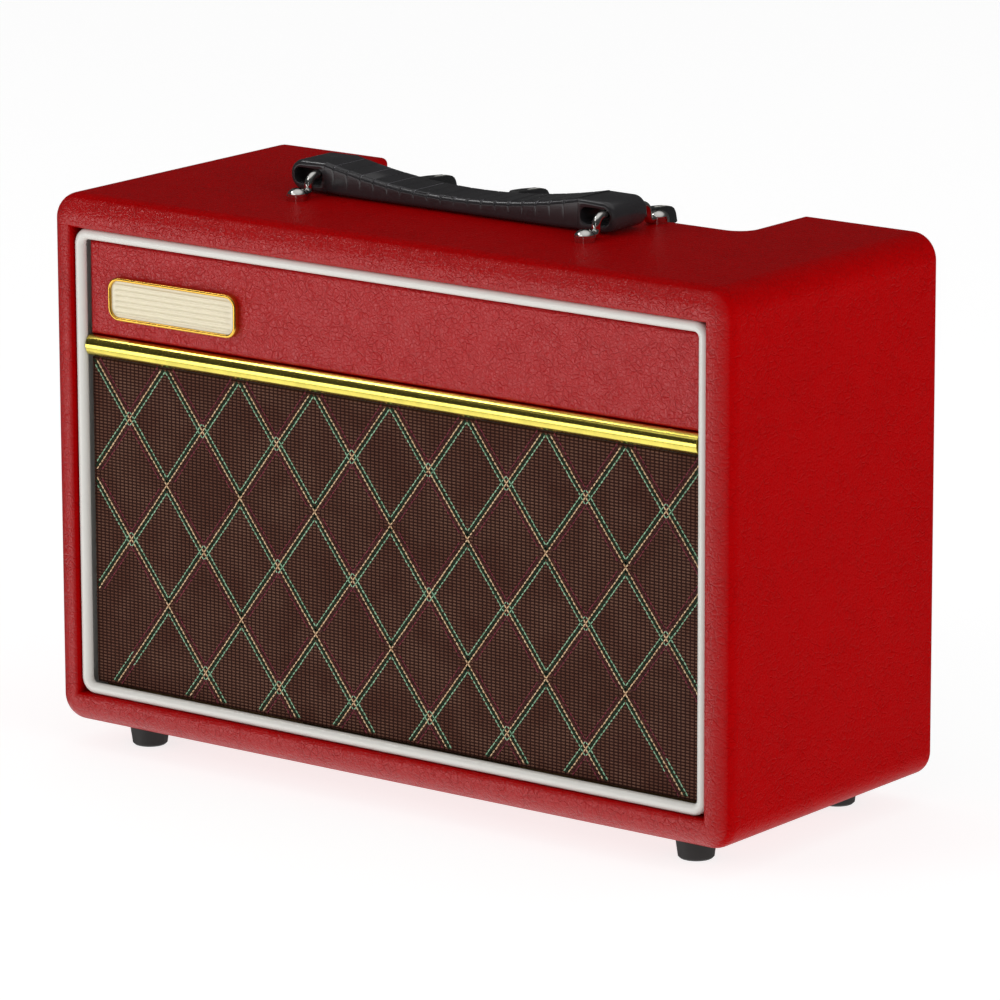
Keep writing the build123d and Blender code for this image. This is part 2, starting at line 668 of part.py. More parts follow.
# the power switch: a housing with a well, and a rocker on its pivot
rocker_pivot_z = 243.6
with BuildPart() as power_switch_housing:
    slab((power_switch_x - 7.6, power_switch_x + 7.6), (control_y - 10.6, control_y + 10.6),
         (fascia_top, fascia_top + 1.5))
    slab((power_switch_x - 6.4, power_switch_x + 6.4), (control_y - 9.4, control_y + 9.4),
         (224.0, fascia_top))
    slab((power_switch_x - 5.4, power_switch_x + 5.4), (control_y - 8.4, control_y + 8.4),
         (238.0, fascia_top + 1.5), mode=Mode.SUBTRACT)
    for lug_y in (-6.0, 0.0, 6.0):
        slab((power_switch_x - 2.4, power_switch_x + 2.4),
             (control_y + lug_y - 0.4, control_y + lug_y + 0.4), (215.0, 224.0))
    rod((power_switch_x - 6.4, control_y, rocker_pivot_z),
        (power_switch_x + 6.4, control_y, rocker_pivot_z), rocker_pin_radius + 0.1,
        mode=Mode.SUBTRACT)
save(power_switch_housing, "power_switch_housing")

rocker_axis = Axis((power_switch_x, control_y, rocker_pivot_z), (1, 0, 0))
with BuildPart() as rocker_level:
    with BuildSketch(Plane.YZ.offset(power_switch_x - 5.0)):
        with BuildLine():
            Polyline((control_y - 7.0, 249.8), (control_y, 248.0), (control_y + 7.0, 249.8),
                     (control_y + 7.0, 243.0), (control_y + 3.5, 239.6),
                     (control_y - 3.5, 239.6), (control_y - 7.0, 243.0), close=True)
        make_face()
    extrude(amount=10.0)
with BuildPart() as power_rocker:
    add(rocker_level.part.rotate(rocker_axis, -rocker_tilt))
    rod((power_switch_x - 6.2, control_y, rocker_pivot_z),
        (power_switch_x + 6.2, control_y, rocker_pivot_z), rocker_pin_radius)
save(power_rocker, "power_rocker")

# ---- circuit board and what is on it ---------------------------------------------------------

board_bottom = 229.0
with BuildPart() as circuit_board:
    slab((-92.0, 66.0), (28.0, 66.0), (board_bottom, 230.6))
save(circuit_board, "circuit_board")

with BuildPart() as capacitors:
    for x in (-22.0, -6.0):
        rod((x, 40.0, board_bottom - 22.0), (x, 40.0, board_bottom), 6.4)
    for x in (31.0, 41.0, 51.0):
        rod((x, 36.0, board_bottom - 11.5), (x, 36.0, board_bottom), 4.0)
save(capacitors, "capacitors")

with BuildPart() as heatsink:
    slab((-72.0, -69.0), (29.0, 57.0), (204.0, board_bottom))
    for fin in range(7):
        fin_y = 29.0 + fin * 4.4
        slab((-88.0, -72.0), (fin_y, fin_y + 1.6), (204.0, board_bottom))
save(heatsink, "heatsink")

with BuildPart() as amplifier_chip:
    slab((-69.0, -64.6), (37.5, 48.5), (207.0, 223.0))
    for lead in range(5):
        lead_y = 39.2 + lead * 1.7
        slab((-67.0, -66.5), (lead_y, lead_y + 0.8), (223.0, board_bottom))
save(amplifier_chip, "amplifier_chip")

# ---- mains inlet and transformer -------------------------------------------------------------

with BuildPart() as mains_inlet:
    inlet_face_y = 79.8
    with BuildSketch(front_plane(chassis_rear_y)):
        with Locations((inlet_x, inlet_z)):
            RectangleRounded(31.0, 24.4, 2.0)
    extrude(amount=-(inlet_face_y - chassis_rear_y))
    slab((inlet_x - inlet_body[0] / 2, inlet_x + inlet_body[0] / 2), (57.0, chassis_rear_y),
         (inlet_z - inlet_body[1] / 2, inlet_z + inlet_body[1] / 2))
    slab((inlet_x - 12.2, inlet_x + 12.2), (61.0, inlet_face_y), (inlet_z - 8.2, inlet_z + 8.2),
         mode=Mode.SUBTRACT)
    for x, z in ((-7.0, 1.0), (0.0, 4.0), (7.0, 1.0)):
        slab((inlet_x + x - 1.0, inlet_x + x + 1.0), (61.0, 74.0),
             (inlet_z + z - 2.0, inlet_z + z + 2.0))
save(mains_inlet, "mains_inlet")

core_base = cavity_bottom + 1.5
with BuildPart() as transformer_core:
    slab((transformer_x - 36.0, transformer_x + 36.0), (transformer_y - 9.0, transformer_y + 9.0),
         (cavity_bottom, core_base))
    slab((transformer_x - 25.0, transformer_x + 25.0), (transformer_y - 9.0, transformer_y + 9.0),
         (core_base, core_base + 42.0))
    for side in (-1, 1):
        window = sorted((transformer_x + side * 8.0, transformer_x + side * 17.0))
        slab(window, (transformer_y - 9.0, transformer_y + 9.0),
             (core_base + 8.0, core_base + 34.0), mode=Mode.SUBTRACT)
    drill(transformer_screw_positions, cavity_bottom, core_base, screw_radius)
save(transformer_core, "transformer_core")

with BuildPart() as transformer_winding:
    slab((transformer_x - 16.8, transformer_x + 16.8), (transformer_y - 17.0, transformer_y + 17.0),
         (core_base + 8.2, core_base + 33.8))
    slab((transformer_x - 8.0, transformer_x + 8.0), (transformer_y - 9.0, transformer_y + 9.0),
         (core_base + 8.2, core_base + 33.8), mode=Mode.SUBTRACT)
save(transformer_winding, "transformer_winding")

# ---- the loudspeaker -------------------------------------------------------------------------

with BuildPart() as speaker_basket:
    turned([(speaker_flange_radius, -57.0), (speaker_flange_radius, -55.6), (72.4, -55.6),
            (72.4, -51.0), (44.0, -16.6), (38.0, -14.0), (16.0, -14.0), (16.0, -15.2),
            (37.4, -15.2), (42.6, -17.6), (71.2, -51.6), (71.2, -57.0)], speaker_z)
    for turn in range(6):
        angle = radians(30 + 60 * turn)
        hole_plane = Plane(origin=(0, -38.0, speaker_z), x_dir=(-sin(angle), 0, cos(angle)),
                           z_dir=(cos(angle), 0, sin(angle)))
        with BuildSketch(hole_plane.offset(40.0)):
            RectangleRounded(34.0, 19.0, 5.0)
        extrude(amount=60.0, mode=Mode.SUBTRACT)
    for x, z in speaker_bolt_places:
        rod((x, -57.0, z), (x, -55.6, z), 2.0, mode=Mode.SUBTRACT)
save(speaker_basket, "speaker_basket")

with BuildPart() as speaker_steel_plates:
    turned([(13.3, -14.0), (36.0, -14.0), (36.0, -9.0), (13.3, -9.0)], speaker_z)
    turned([(4.0, -15.0), (11.8, -15.0), (11.8, 6.2), (36.0, 6.2), (36.0, 11.2), (4.0, 11.2)],
           speaker_z)
save(speaker_steel_plates, "speaker_steel_plates")

with BuildPart() as speaker_magnet:
    turned([(19.0, -9.0), (40.0, -9.0), (40.0, 6.2), (19.0, 6.2)], speaker_z)
save(speaker_magnet, "speaker_magnet")

with BuildPart() as speaker_cone:
    turned([(13.0, -26.5), (62.4, -52.0), (62.4, -50.9), (13.0, -25.4)], speaker_z)
save(speaker_cone, "speaker_cone")

with BuildPart() as dust_cap:
    cap_base_y = -28.4
    cap_radius = 25.0
    cap_rise = 5.6
    with Locations((0, cap_base_y - cap_rise + cap_radius, speaker_z)):
        Sphere(cap_radius)
        Sphere(cap_radius - 0.6, mode=Mode.SUBTRACT)
    slab((-20.0, 20.0), (cap_base_y - 10.0, cap_base_y), (speaker_z - 20.0, speaker_z + 20.0),
         mode=Mode.INTERSECT)
save(dust_cap, "dust_cap")

with BuildPart() as voice_coil:
    turned([(12.2, -26.4), (12.9, -26.4), (12.9, -4.0), (12.2, -4.0)], speaker_z)
save(voice_coil, "voice_coil")

with BuildPart() as speaker_surround:
    roll_r = 66.8
    roll_y = -52.2
    with BuildSketch(Plane.XY.offset(speaker_z)):
        with BuildLine():
            ThreePointArc((roll_r - 4.2, roll_y), (roll_r, roll_y - 4.2), (roll_r + 4.2, roll_y))
            Line((roll_r + 4.2, roll_y), (roll_r + 3.6, roll_y))
            ThreePointArc((roll_r + 3.6, roll_y), (roll_r, roll_y - 3.6), (roll_r - 3.6, roll_y))
            Line((roll_r - 3.6, roll_y), (roll_r - 4.2, roll_y))
        make_face()
    revolve(axis=Axis((0, 0, speaker_z), (0, 1, 0)))
save(speaker_surround, "speaker_surround")

with BuildPart() as speaker_spider:
    turned([(12.95, -23.6), (47.0, -23.6), (47.0, -23.0), (12.95, -23.0)], speaker_z)
save(speaker_spider, "speaker_spider")

terminal_z = speaker_z + 50.4
with BuildPart() as speaker_terminals:
    slab((-11.0, 11.0), (-24.0, -22.6), (terminal_z, terminal_z + 12.0))
    for x in (-6.0, 6.0):
        slab((x - 2.4, x + 2.4), (-22.6, -21.8), (terminal_z + 3.0, terminal_z + 18.0))
save(speaker_terminals, "speaker_terminals")

with BuildPart() as speaker_bolts:
    for x, z in speaker_bolt_places:
        rod((x, baffle_back_y - 9.0, z), (x, -55.6, z), 2.0)
        rod((x, -55.6, z), (x, -53.0, z), 4.0)
save(speaker_bolts, "speaker_bolts")

# ---- inside wiring, held at both ends --------------------------------------------------------

with BuildPart() as speaker_leads:
    for side in (-1, 1):
        landing_x = 16.0 + 4.0 * side
        wire([(6.0 * side, -20.8, terminal_z + 15.0), (6.0 * side, -9.0, terminal_z + 15.0),
              (9.0 + 5.0 * side, 6.0, 188.0), (12.0 + 4.0 * side, 26.0, 188.0),
              (landing_x, 40.0, 200.0), (landing_x, 40.0, board_bottom)], 0.95)
save(speaker_leads, "speaker_leads")

with BuildPart() as power_wiring:
    winding_top = core_base + 33.8
    wire([(inlet_x + 7.0, 57.0, inlet_z), (inlet_x + 7.0, 49.0, inlet_z),
          (inlet_x + 30.0, 46.0, 203.0), (10.0, 56.0, 201.5), (50.0, 60.0, 199.0),
          (90.0, 62.0, 199.0), (103.0, 62.0, 204.0), (103.0, 62.0, 215.0)], 1.1)
    wire([(103.0, 50.0, 215.0), (103.0, 50.0, 200.0), (112.0, 38.0, 160.0),
          (119.0, 35.0, 110.0), (119.0, 35.0, winding_top)], 1.1)
    wire([(131.0, 35.0, winding_top), (131.0, 35.0, 110.0), (122.0, 36.0, 160.0),
          (96.0, 38.0, 192.0), (60.0, 48.0, 204.0), (60.0, 48.0, board_bottom)], 1.1)
save(power_wiring, "power_wiring")

# ---- the back --------------------------------------------------------------------------------

back_half_width = opening_half_width - 0.7
with BuildPart() as lower_back_panel:
    slab((-back_half_width, back_half_width), (back_panel_front_y, back_panel_back_y),
         (opening_bottom + 0.6, lower_panel_top))
    for x, z in back_screw_places:
        if z < lower_panel_top:
            rod((x, back_panel_front_y, z), (x, back_panel_back_y, z), screw_radius,
                mode=Mode.SUBTRACT)
save(lower_back_panel, "lower_back_panel")

with BuildPart() as upper_back_panel:
    slab((-back_half_width, back_half_width), (back_panel_front_y, back_panel_back_y),
         (upper_panel_bottom, opening_top - 0.6))
    slab((-chassis_half_width - 0.6, chassis_half_width + 0.6),
         (back_panel_front_y, back_panel_back_y), (chassis_bottom - 1.0, opening_top),
         mode=Mode.SUBTRACT)
    slab((-chassis_flange_half_width - 0.6, chassis_flange_half_width + 0.6),
         (back_panel_front_y, back_panel_back_y),
         (panel_underside - 0.4, opening_top), mode=Mode.SUBTRACT)
    for x, z in back_screw_places:
        if z > lower_panel_top:
            rod((x, back_panel_front_y, z), (x, back_panel_back_y, z), screw_radius,
                mode=Mode.SUBTRACT)
save(upper_back_panel, "upper_back_panel")

with BuildPart() as back_panel_screws:
    for x, z in back_screw_places:
        rod((x, 60.0, z), (x, back_panel_back_y, z), screw_radius)
        rod((x, back_panel_back_y, z), (x, back_panel_back_y + 1.8, z), 3.8)
save(back_panel_screws, "back_panel_screws")
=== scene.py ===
import json
import math

import bpy
import numpy as np
from mathutils import Matrix, Vector


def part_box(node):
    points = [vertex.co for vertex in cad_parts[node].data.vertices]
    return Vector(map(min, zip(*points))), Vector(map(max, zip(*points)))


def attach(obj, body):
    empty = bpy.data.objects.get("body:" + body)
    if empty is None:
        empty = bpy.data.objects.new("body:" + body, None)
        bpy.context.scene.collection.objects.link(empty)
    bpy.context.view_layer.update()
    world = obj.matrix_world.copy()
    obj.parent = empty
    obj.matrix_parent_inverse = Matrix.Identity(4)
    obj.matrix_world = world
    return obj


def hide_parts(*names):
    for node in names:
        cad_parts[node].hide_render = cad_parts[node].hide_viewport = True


# The looks of a small practice amplifier: its materials, its woven grille cloth, its moulded strap
# handle, its plaque and the marks on its controls. Materials, lights and cards are in metres, and
# MM turns millimetres into metres. Meshes are worked out in millimetres. -Y is the front, +X the
# right and +Z is up.

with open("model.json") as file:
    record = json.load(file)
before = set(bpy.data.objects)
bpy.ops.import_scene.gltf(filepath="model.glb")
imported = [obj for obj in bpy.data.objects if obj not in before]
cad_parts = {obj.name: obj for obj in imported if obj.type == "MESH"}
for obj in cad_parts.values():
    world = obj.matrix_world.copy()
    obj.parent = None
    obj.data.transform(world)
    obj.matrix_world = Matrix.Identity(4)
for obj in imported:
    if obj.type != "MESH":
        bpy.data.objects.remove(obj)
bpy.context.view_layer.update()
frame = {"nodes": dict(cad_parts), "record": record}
nodes = frame["nodes"]
record = frame["record"]
MM = 0.001
scene = bpy.context.scene
rng = np.random.default_rng(20)


# ---- helpers for materials -------------------------------------------------------------------

def srgb(red, green, blue):
    """A colour given as 0 to 255 on a screen, as the linear colour that shaders take."""
    linear = []
    for channel in (red, green, blue):
        share = channel / 255
        linear.append(share / 12.92 if share <= 0.04045 else ((share + 0.055) / 1.055) ** 2.4)
    return (*linear, 1.0)


class Paint:
    """One procedural material, put together node by node."""

    def __init__(self, name, colour, roughness, metallic=0.0, **shader):
        self.material = bpy.data.materials.new(name)
        self.material.use_nodes = True
        self.material.diffuse_color = colour
        self.tree = self.material.node_tree
        self.shader = self.tree.nodes["Principled BSDF"]
        self.shader.inputs["Base Color"].default_value = colour
        self.shader.inputs["Roughness"].default_value = roughness
        self.shader.inputs["Metallic"].default_value = metallic
        for socket, value in shader.items():
            self.shader.inputs[socket.replace("_", " ")].default_value = value
        self.place = self.node("ShaderNodeTexCoord").outputs["Object"]
        self.normal = None

    def node(self, kind, inputs=None, **settings):
        made = self.tree.nodes.new(kind)
        for setting, value in settings.items():
            setattr(made, setting, value)
        for socket, value in (inputs or {}).items():
            self.feed(made.inputs[socket], value)
        return made

    def feed(self, socket, value):
        if isinstance(value, bpy.types.NodeSocket):
            self.tree.links.new(value, socket)
        else:
            socket.default_value = value

    def stretch(self, x, y, z):
        """Object coordinates scaled by different amounts along each axis."""
        return self.node("ShaderNodeMapping", {"Vector": self.place, "Scale": (x, y, z)}).outputs[0]

    def noise(self, scale, detail=2.0, roughness=0.5, place=None, distortion=0.0):
        inputs = {"Vector": place or self.place, "Scale": scale, "Detail": detail,
                  "Roughness": roughness, "Distortion": distortion}
        return self.node("ShaderNodeTexNoise", inputs).outputs[0]

    def cells(self, scale, feature="F1", place=None, randomness=1.0):
        inputs = {"Vector": place or self.place, "Scale": scale, "Randomness": randomness}
        return self.node("ShaderNodeTexVoronoi", inputs, feature=feature).outputs["Distance"]

    def shaken(self, scale, amount):
        """Object coordinates pushed about by a noise, so that cells lose their straight edges."""
        colour = self.node("ShaderNodeTexNoise", {"Vector": self.place, "Scale": scale}).outputs[1]
        return self.node("ShaderNodeVectorMath", {0: colour, 1: (amount, amount, amount), 2: self.place},
                         operation="MULTIPLY_ADD").outputs[0]

    def math(self, operation, a, b=0.0, c=0.0):
        return self.node("ShaderNodeMath", {0: a, 1: b, 2: c}, operation=operation).outputs[0]

    def fit(self, value, low, high, new_low=0.0, new_high=1.0):
        inputs = {"Value": value, "From Min": low, "From Max": high, "To Min": new_low,
                  "To Max": new_high}
        return self.node("ShaderNodeMapRange", inputs).outputs[0]

    def mix(self, share, a, b, blend="MIX"):
        made = self.node("ShaderNodeMix", data_type="RGBA", blend_type=blend)
        self.feed(made.inputs[0], share)
        self.feed(made.inputs[6], a)
        self.feed(made.inputs[7], b)
        return made.outputs[2]

    def axis(self, name):
        return self.node("ShaderNodeSeparateXYZ", {0: self.place}).outputs[name]

    def colour(self, value):
        self.feed(self.shader.inputs["Base Color"], value)

    def roughness(self, value):
        self.feed(self.shader.inputs["Roughness"], value)

    def bump(self, height, distance, strength=1.0):
        """Adds relief of this height in metres, on top of what is already there."""
        inputs = {"Height": height, "Distance": distance, "Strength": strength}
        if self.normal is not None:
            inputs["Normal"] = self.normal
        self.normal = self.node("ShaderNodeBump", inputs).outputs[0]
        self.feed(self.shader.inputs["Normal"], self.normal)


# ---- materials -------------------------------------------------------------------------------

def leathercloth(name, deep, bright, roughness):
    """Embossed vinyl: pebbles and a net of fine creases that show in its sheen and as painted shade
    darkening its colour, and tiny painted highlights: lighter specks in its colour in place of light
    glinting off the grain.

    The covering is glossier where it faces the front than on the top, sides and back."""
    paint = Paint(name, bright, roughness)
    facing = paint.node("ShaderNodeSeparateXYZ", {0: paint.node("ShaderNodeNewGeometry").outputs["Normal"]})
    paint.feed(paint.shader.inputs["Specular IOR Level"],
               paint.fit(facing.outputs["Y"], -0.55, -0.98, VINYL_SHINE, VINYL_FRONT_SHINE))
    shaken = paint.shaken(260.0, 0.0022)
    pebbles = paint.cells(820.0, place=shaken)
    net = paint.cells(300.0, feature="DISTANCE_TO_EDGE", place=paint.shaken(180.0, 0.0040))
    fine_net = paint.cells(620.0, feature="DISTANCE_TO_EDGE", place=shaken)
    present = paint.fit(paint.noise(120.0, 2.0), 0.40, 0.60, 0.35, 1.0)
    creases = paint.math("MULTIPLY", paint.fit(net, 0.0, 0.14, 1.0, 0.0), present)
    fine_creases = paint.fit(fine_net, 0.0, 0.16, 1.0, 0.0)
    pores = paint.noise(2600.0, 2.0)
    shade = paint.math("MULTIPLY_ADD", paint.noise(22.0, 3.0), 0.20, 0.62)
    # painted shade: the colour darkens along the crease net, as if shade fell in the creases; the rest of
    # the tone varies at random
    shade = paint.math("MULTIPLY_ADD", creases, -0.16, shade)
    red = paint.mix(shade, deep, bright)
    # painted highlights: sparse lighter pinkish specks mixed into the colour stand in for light glinting
    # off the grain
    painted_glints = paint.math("MULTIPLY", paint.fit(paint.cells(420.0), 0.10, 0.04),
                        paint.fit(paint.noise(260.0, 2.0), 0.50, 0.66))
    paint.colour(paint.mix(paint.math("MULTIPLY", painted_glints, 0.55), red, srgb(230, 90, 84)))
    paint.roughness(paint.math("MULTIPLY_ADD", paint.noise(90.0, 2.0), 0.10, roughness - 0.05))
    relief = paint.math("MULTIPLY_ADD", pebbles, -0.30, 1.0)
    relief = paint.math("MULTIPLY_ADD", fine_creases, -0.28, relief)
    relief = paint.math("MULTIPLY_ADD", creases, -0.55, relief)
    relief = paint.math("MULTIPLY_ADD", pores, 0.10, relief)
    paint.bump(relief, 0.32 * MM)
    return paint.material


def board(name, light, dark, roughness, along="x"):
    """Fibreboard or sawn wood: streaks along one axis."""
    paint = Paint(name, light, roughness)
    scales = {"x": (8.0, 220.0, 220.0), "z": (220.0, 220.0, 8.0)}[along]
    grain = paint.noise(1.0, 5.0, 0.65, place=paint.stretch(*scales), distortion=0.6)
    fibres = paint.noise(900.0, 3.0)
    paint.colour(paint.mix(paint.fit(grain, 0.3, 0.7), dark, light))
    paint.bump(grain, 0.10 * MM)
    paint.bump(fibres, 0.05 * MM)
    return paint.material


def moulded(name, colour, roughness, texture=0.02, speckle=1800.0, scuffing=1.0, **shader):
    """Moulded plastic, rubber or paint: a fine orange-peel skin, with scuffs that dull it."""
    paint = Paint(name, colour, roughness, **shader)
    skin = paint.noise(speckle, 3.0)
    scuffs = paint.noise(60.0, 5.0, 0.7)
    lighter = tuple(min(1.0, c * (1 + 0.35 * scuffing) + 0.004 * scuffing) for c in colour[:3]) + (1.0,)
    paint.colour(paint.mix(paint.fit(scuffs, 0.45, 0.75), colour, lighter))
    paint.roughness(paint.math("MULTIPLY_ADD", scuffs, 0.22 * scuffing, roughness - 0.11 * scuffing))
    paint.bump(skin, texture * MM)
    return paint.material


def metal(name, colour, roughness, brushed=(60.0, 900.0, 900.0), depth=0.01, variation=0.12):
    """Plated or bare metal with fine brush marks and slightly uneven gloss."""
    paint = Paint(name, colour, roughness, metallic=1.0)
    marks = paint.noise(1.0, 3.0, place=paint.stretch(*brushed))
    stains = paint.noise(110.0, 4.0)
    darker = tuple(c * 0.78 for c in colour[:3]) + (1.0,)
    paint.colour(paint.mix(paint.fit(stains, 0.35, 0.75), colour, darker))
    paint.roughness(paint.math("MULTIPLY_ADD", stains, variation, max(0.02, roughness - variation / 2)))
    paint.bump(marks, depth * MM)
    return paint.material


def woven(name, colour, second, pitch, roughness=0.85):
    """Small woven cloth or pressed paper: crossing ridges at this pitch in metres."""
    paint = Paint(name, colour, roughness)
    turns = 2 * math.pi / pitch
    ridges = [paint.math("SINE", paint.math("MULTIPLY", paint.axis(axis), turns)) for axis in "XZ"]
    crossing = paint.math("MULTIPLY", ridges[0], ridges[1])
    fuzz = paint.noise(1500.0, 3.0)
    paint.colour(paint.mix(paint.fit(crossing, -0.8, 0.8), second, colour))
    paint.bump(crossing, 0.1 * MM)
    paint.bump(fuzz, 0.05 * MM)
    return paint.material


def layered(name, light, dark, pitch, axis="Z", roughness=0.45, metallic=1.0, depth=0.1):
    """Stacked plates or laid turns of wire: fine parallel ridges across one axis."""
    paint = Paint(name, light, roughness, metallic=metallic)
    ridge = paint.math("SINE", paint.math("MULTIPLY", paint.axis(axis), 2 * math.pi / pitch))
    paint.colour(paint.mix(paint.fit(ridge, -0.9, 0.3), dark, light))
    paint.bump(ridge, depth * MM)
    return paint.material


def grille_paint():
    """The ground of the cloth: rows of short brown floats over a near-black warp."""
    paint = Paint("grille_ground", srgb(58, 38, 30), 0.8, Specular_IOR_Level=0.15)
    across = paint.math("DIVIDE", paint.axis("X"), WEAVE_COLUMN)
    up = paint.math("DIVIDE", paint.axis("Z"), WEAVE_ROW)
    column = paint.math("PINGPONG", across, 0.5)
    row = paint.math("PINGPONG", up, 0.5)
    float_share = paint.math("MULTIPLY", paint.fit(column, 0.06, 0.24), paint.fit(row, 0.12, 0.34))
    patches = paint.noise(60.0, 3.0)
    fuzz = paint.noise(2400.0, 2.0)
    thread = paint.mix(paint.fit(patches, 0.35, 0.65), srgb(98, 62, 48), srgb(118, 84, 68))
    thread = paint.mix(paint.fit(fuzz, 0.3, 0.7, 0.0, 0.35), thread, srgb(74, 34, 26))
    paint.colour(paint.mix(float_share, srgb(40, 15, 9), thread))
    paint.bump(float_share, 0.20 * MM)
    paint.bump(fuzz, 0.05 * MM)
    return paint.material


def yarn(name, light, dark):
    """One colour of the pattern's threads, slightly uneven and fibrous."""
    paint = Paint(name, light, 0.6, Specular_IOR_Level=0.2)
    paint.colour(paint.mix(paint.fit(paint.noise(700.0, 3.0), 0.35, 0.7), light, dark))
    paint.bump(paint.noise(3500.0, 2.0), 0.03 * MM)
    return paint.material


def lens():
    paint = Paint("pilot_red_lens", srgb(190, 12, 14), 0.08, Transmission_Weight=0.55, IOR=1.49)
    facets = paint.cells(900.0, randomness=0.2)
    paint.colour(paint.mix(facets, srgb(205, 16, 16), srgb(150, 4, 6)))
    paint.bump(facets, 0.04 * MM)
    return paint.material


def laminate():
    """Green solder mask with darker tracks under it."""
    paint = Paint("green_laminate", srgb(28, 96, 48), 0.3)
    tracks = paint.cells(160.0, feature="DISTANCE_TO_EDGE", randomness=0.6)
    paint.colour(paint.mix(paint.fit(tracks, 0.05, 0.09), srgb(46, 128, 66), srgb(20, 78, 38)))
    paint.bump(paint.fit(tracks, 0.05, 0.09), 0.03 * MM)
    return paint.material


WEAVE_COLUMN = 2.4 * MM
WEAVE_ROW = 1.45 * MM
VINYL_SHINE = 0.02
VINYL_FRONT_SHINE = 0.50

finish = {
    "cabinet_vinyl": leathercloth("red_leathercloth", srgb(118, 0, 1), srgb(182, 0, 3), 0.30),
    "panel_vinyl": leathercloth("red_panel_vinyl", srgb(122, 2, 6), srgb(186, 4, 10), 0.32),
    "cabinet_board": board("fibreboard", srgb(178, 146, 108), srgb(140, 108, 74), 0.8),
    "batten_wood": board("softwood", srgb(202, 168, 118), srgb(160, 120, 76), 0.75),
    "baffle_board": board("black_stained_board", srgb(34, 31, 29), srgb(20, 18, 17), 0.7),
    "back_board": board("black_painted_board", srgb(24, 24, 24), srgb(13, 13, 13), 0.6),
    "grille_fabric": grille_paint(),
    "gold_trim": metal("gold_foil", srgb(240, 222, 104), 0.15, (4.0, 500.0, 500.0), 0.003, 0.04),
    "piping": moulded("white_piping", srgb(226, 224, 218), 0.30, 0.01, 1200.0, 0.05),
    "badge": metal("gold_rim", srgb(226, 178, 78), 0.22),
    "bright_hardware": metal("chromed_steel", srgb(222, 220, 216), 0.10, depth=0.003, variation=0.06),
    "handle": moulded("black_handle", srgb(44, 43, 45), 0.20, 0.012, 1500.0, 0.5),
    "spring_steel": metal("spring_steel", srgb(150, 150, 152), 0.35),
    "rubber": moulded("black_rubber", srgb(30, 27, 26), 0.62, 0.04, 1100.0),
    "black_screws": metal("black_oxide", srgb(52, 50, 50), 0.38),
    "black_sheet_steel": moulded("powder_coat", srgb(26, 26, 27), 0.45, 0.05, 1400.0),
    "panel_fascia": moulded("satin_black_fascia", srgb(24, 22, 22), 0.34, 0.012, 2200.0),
    "black_plastic": moulded("black_plastic", srgb(24, 24, 26), 0.28, 0.02),
    "nuts": metal("nickel_nuts", srgb(206, 204, 200), 0.22),
    "potentiometer_steel": metal("zinc_steel", srgb(178, 180, 178), 0.36),
    "shaft_metal": metal("turned_aluminium", srgb(212, 212, 214), 0.28, (900.0, 900.0, 60.0)),
    "knob_plastic": moulded("black_knob", srgb(34, 34, 35), 0.22, 0.006, scuffing=0.4),
    "red_lens": lens(),
    "circuit_laminate": laminate(),
    "capacitor_sleeve": moulded("blue_black_sleeve", srgb(22, 28, 54), 0.32, 0.02),
    "heatsink_metal": metal("black_anodised", srgb(48, 48, 52), 0.42),
    "core_laminations": layered("laminated_core", srgb(120, 116, 110), srgb(58, 54, 50), 1.0 * MM, "Y"),
    "winding": layered("taped_winding", srgb(206, 160, 58), srgb(120, 80, 24), 0.8 * MM, "Z", 0.5, 0.0),
    "basket_paint": moulded("black_enamel", srgb(30, 30, 31), 0.30, 0.03),
    "plate_steel": metal("yellow_passivated", srgb(196, 180, 132), 0.32),
    "ferrite": moulded("ferrite", srgb(52, 52, 53), 0.62, 0.12, 900.0),
    "cone_paper": woven("pressed_paper", srgb(44, 43, 42), srgb(26, 25, 25), 1.3 * MM),
    "coil": layered("wound_copper", srgb(196, 116, 62), srgb(104, 50, 22), 0.5 * MM, "Y", 0.35),
    "surround": woven("coated_cloth", srgb(34, 33, 33), srgb(18, 18, 18), 0.9 * MM, 0.55),
    "spider_cloth": woven("impregnated_cloth", srgb(196, 160, 92), srgb(140, 104, 48), 0.8 * MM),
    "terminal_brass": metal("tinned_brass", srgb(206, 192, 142), 0.28),
    "wire_insulation": moulded("wire_sleeve", srgb(150, 22, 22), 0.35, 0.01),
}

for part in record["subparts"]:
    node = nodes[part["node"]]
    node.data.materials.clear()
    node.data.materials.append(finish[part["material_slot"]])


# ---- helpers for meshes ----------------------------------------------------------------------

def piece(name, points, faces, material, body, smooth=True):
    """A new mesh that rides on a body; points are in millimetres."""
    mesh = bpy.data.meshes.new(name)
    mesh.from_pydata((np.asarray(points, float) * MM).tolist(), [], faces)
    mesh.materials.append(material)
    mesh.polygons.foreach_set("use_smooth", [smooth] * len(mesh.polygons))
    mesh.validate()
    mesh.update()
    made = bpy.data.objects.new(name, mesh)
    scene.collection.objects.link(made)
    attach(made, body)
    return made


def grid_faces(rows, columns, wrap_columns=False, wrap_rows=False):
    """Quads over a grid of points laid row by row."""
    faces = []
    for row in range(rows if wrap_rows else rows - 1):
        next_row = (row + 1) % rows
        for column in range(columns if wrap_columns else columns - 1):
            next_column = (column + 1) % columns
            faces.append((row * columns + column, row * columns + next_column,
                          next_row * columns + next_column, next_row * columns + column))
    return faces


def mm_box(node):
    low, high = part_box(node)
    return np.array(low) / MM, np.array(high) / MM


# ---- the grille cloth ------------------------------------------------------------------------

cloth_low, cloth_high = mm_box("grille_cloth")
cloth_front = cloth_low[1]
weave_relief = 0.14
turned_back = 2.6
cloth_fold = 0.6
ground_depth = 0.2


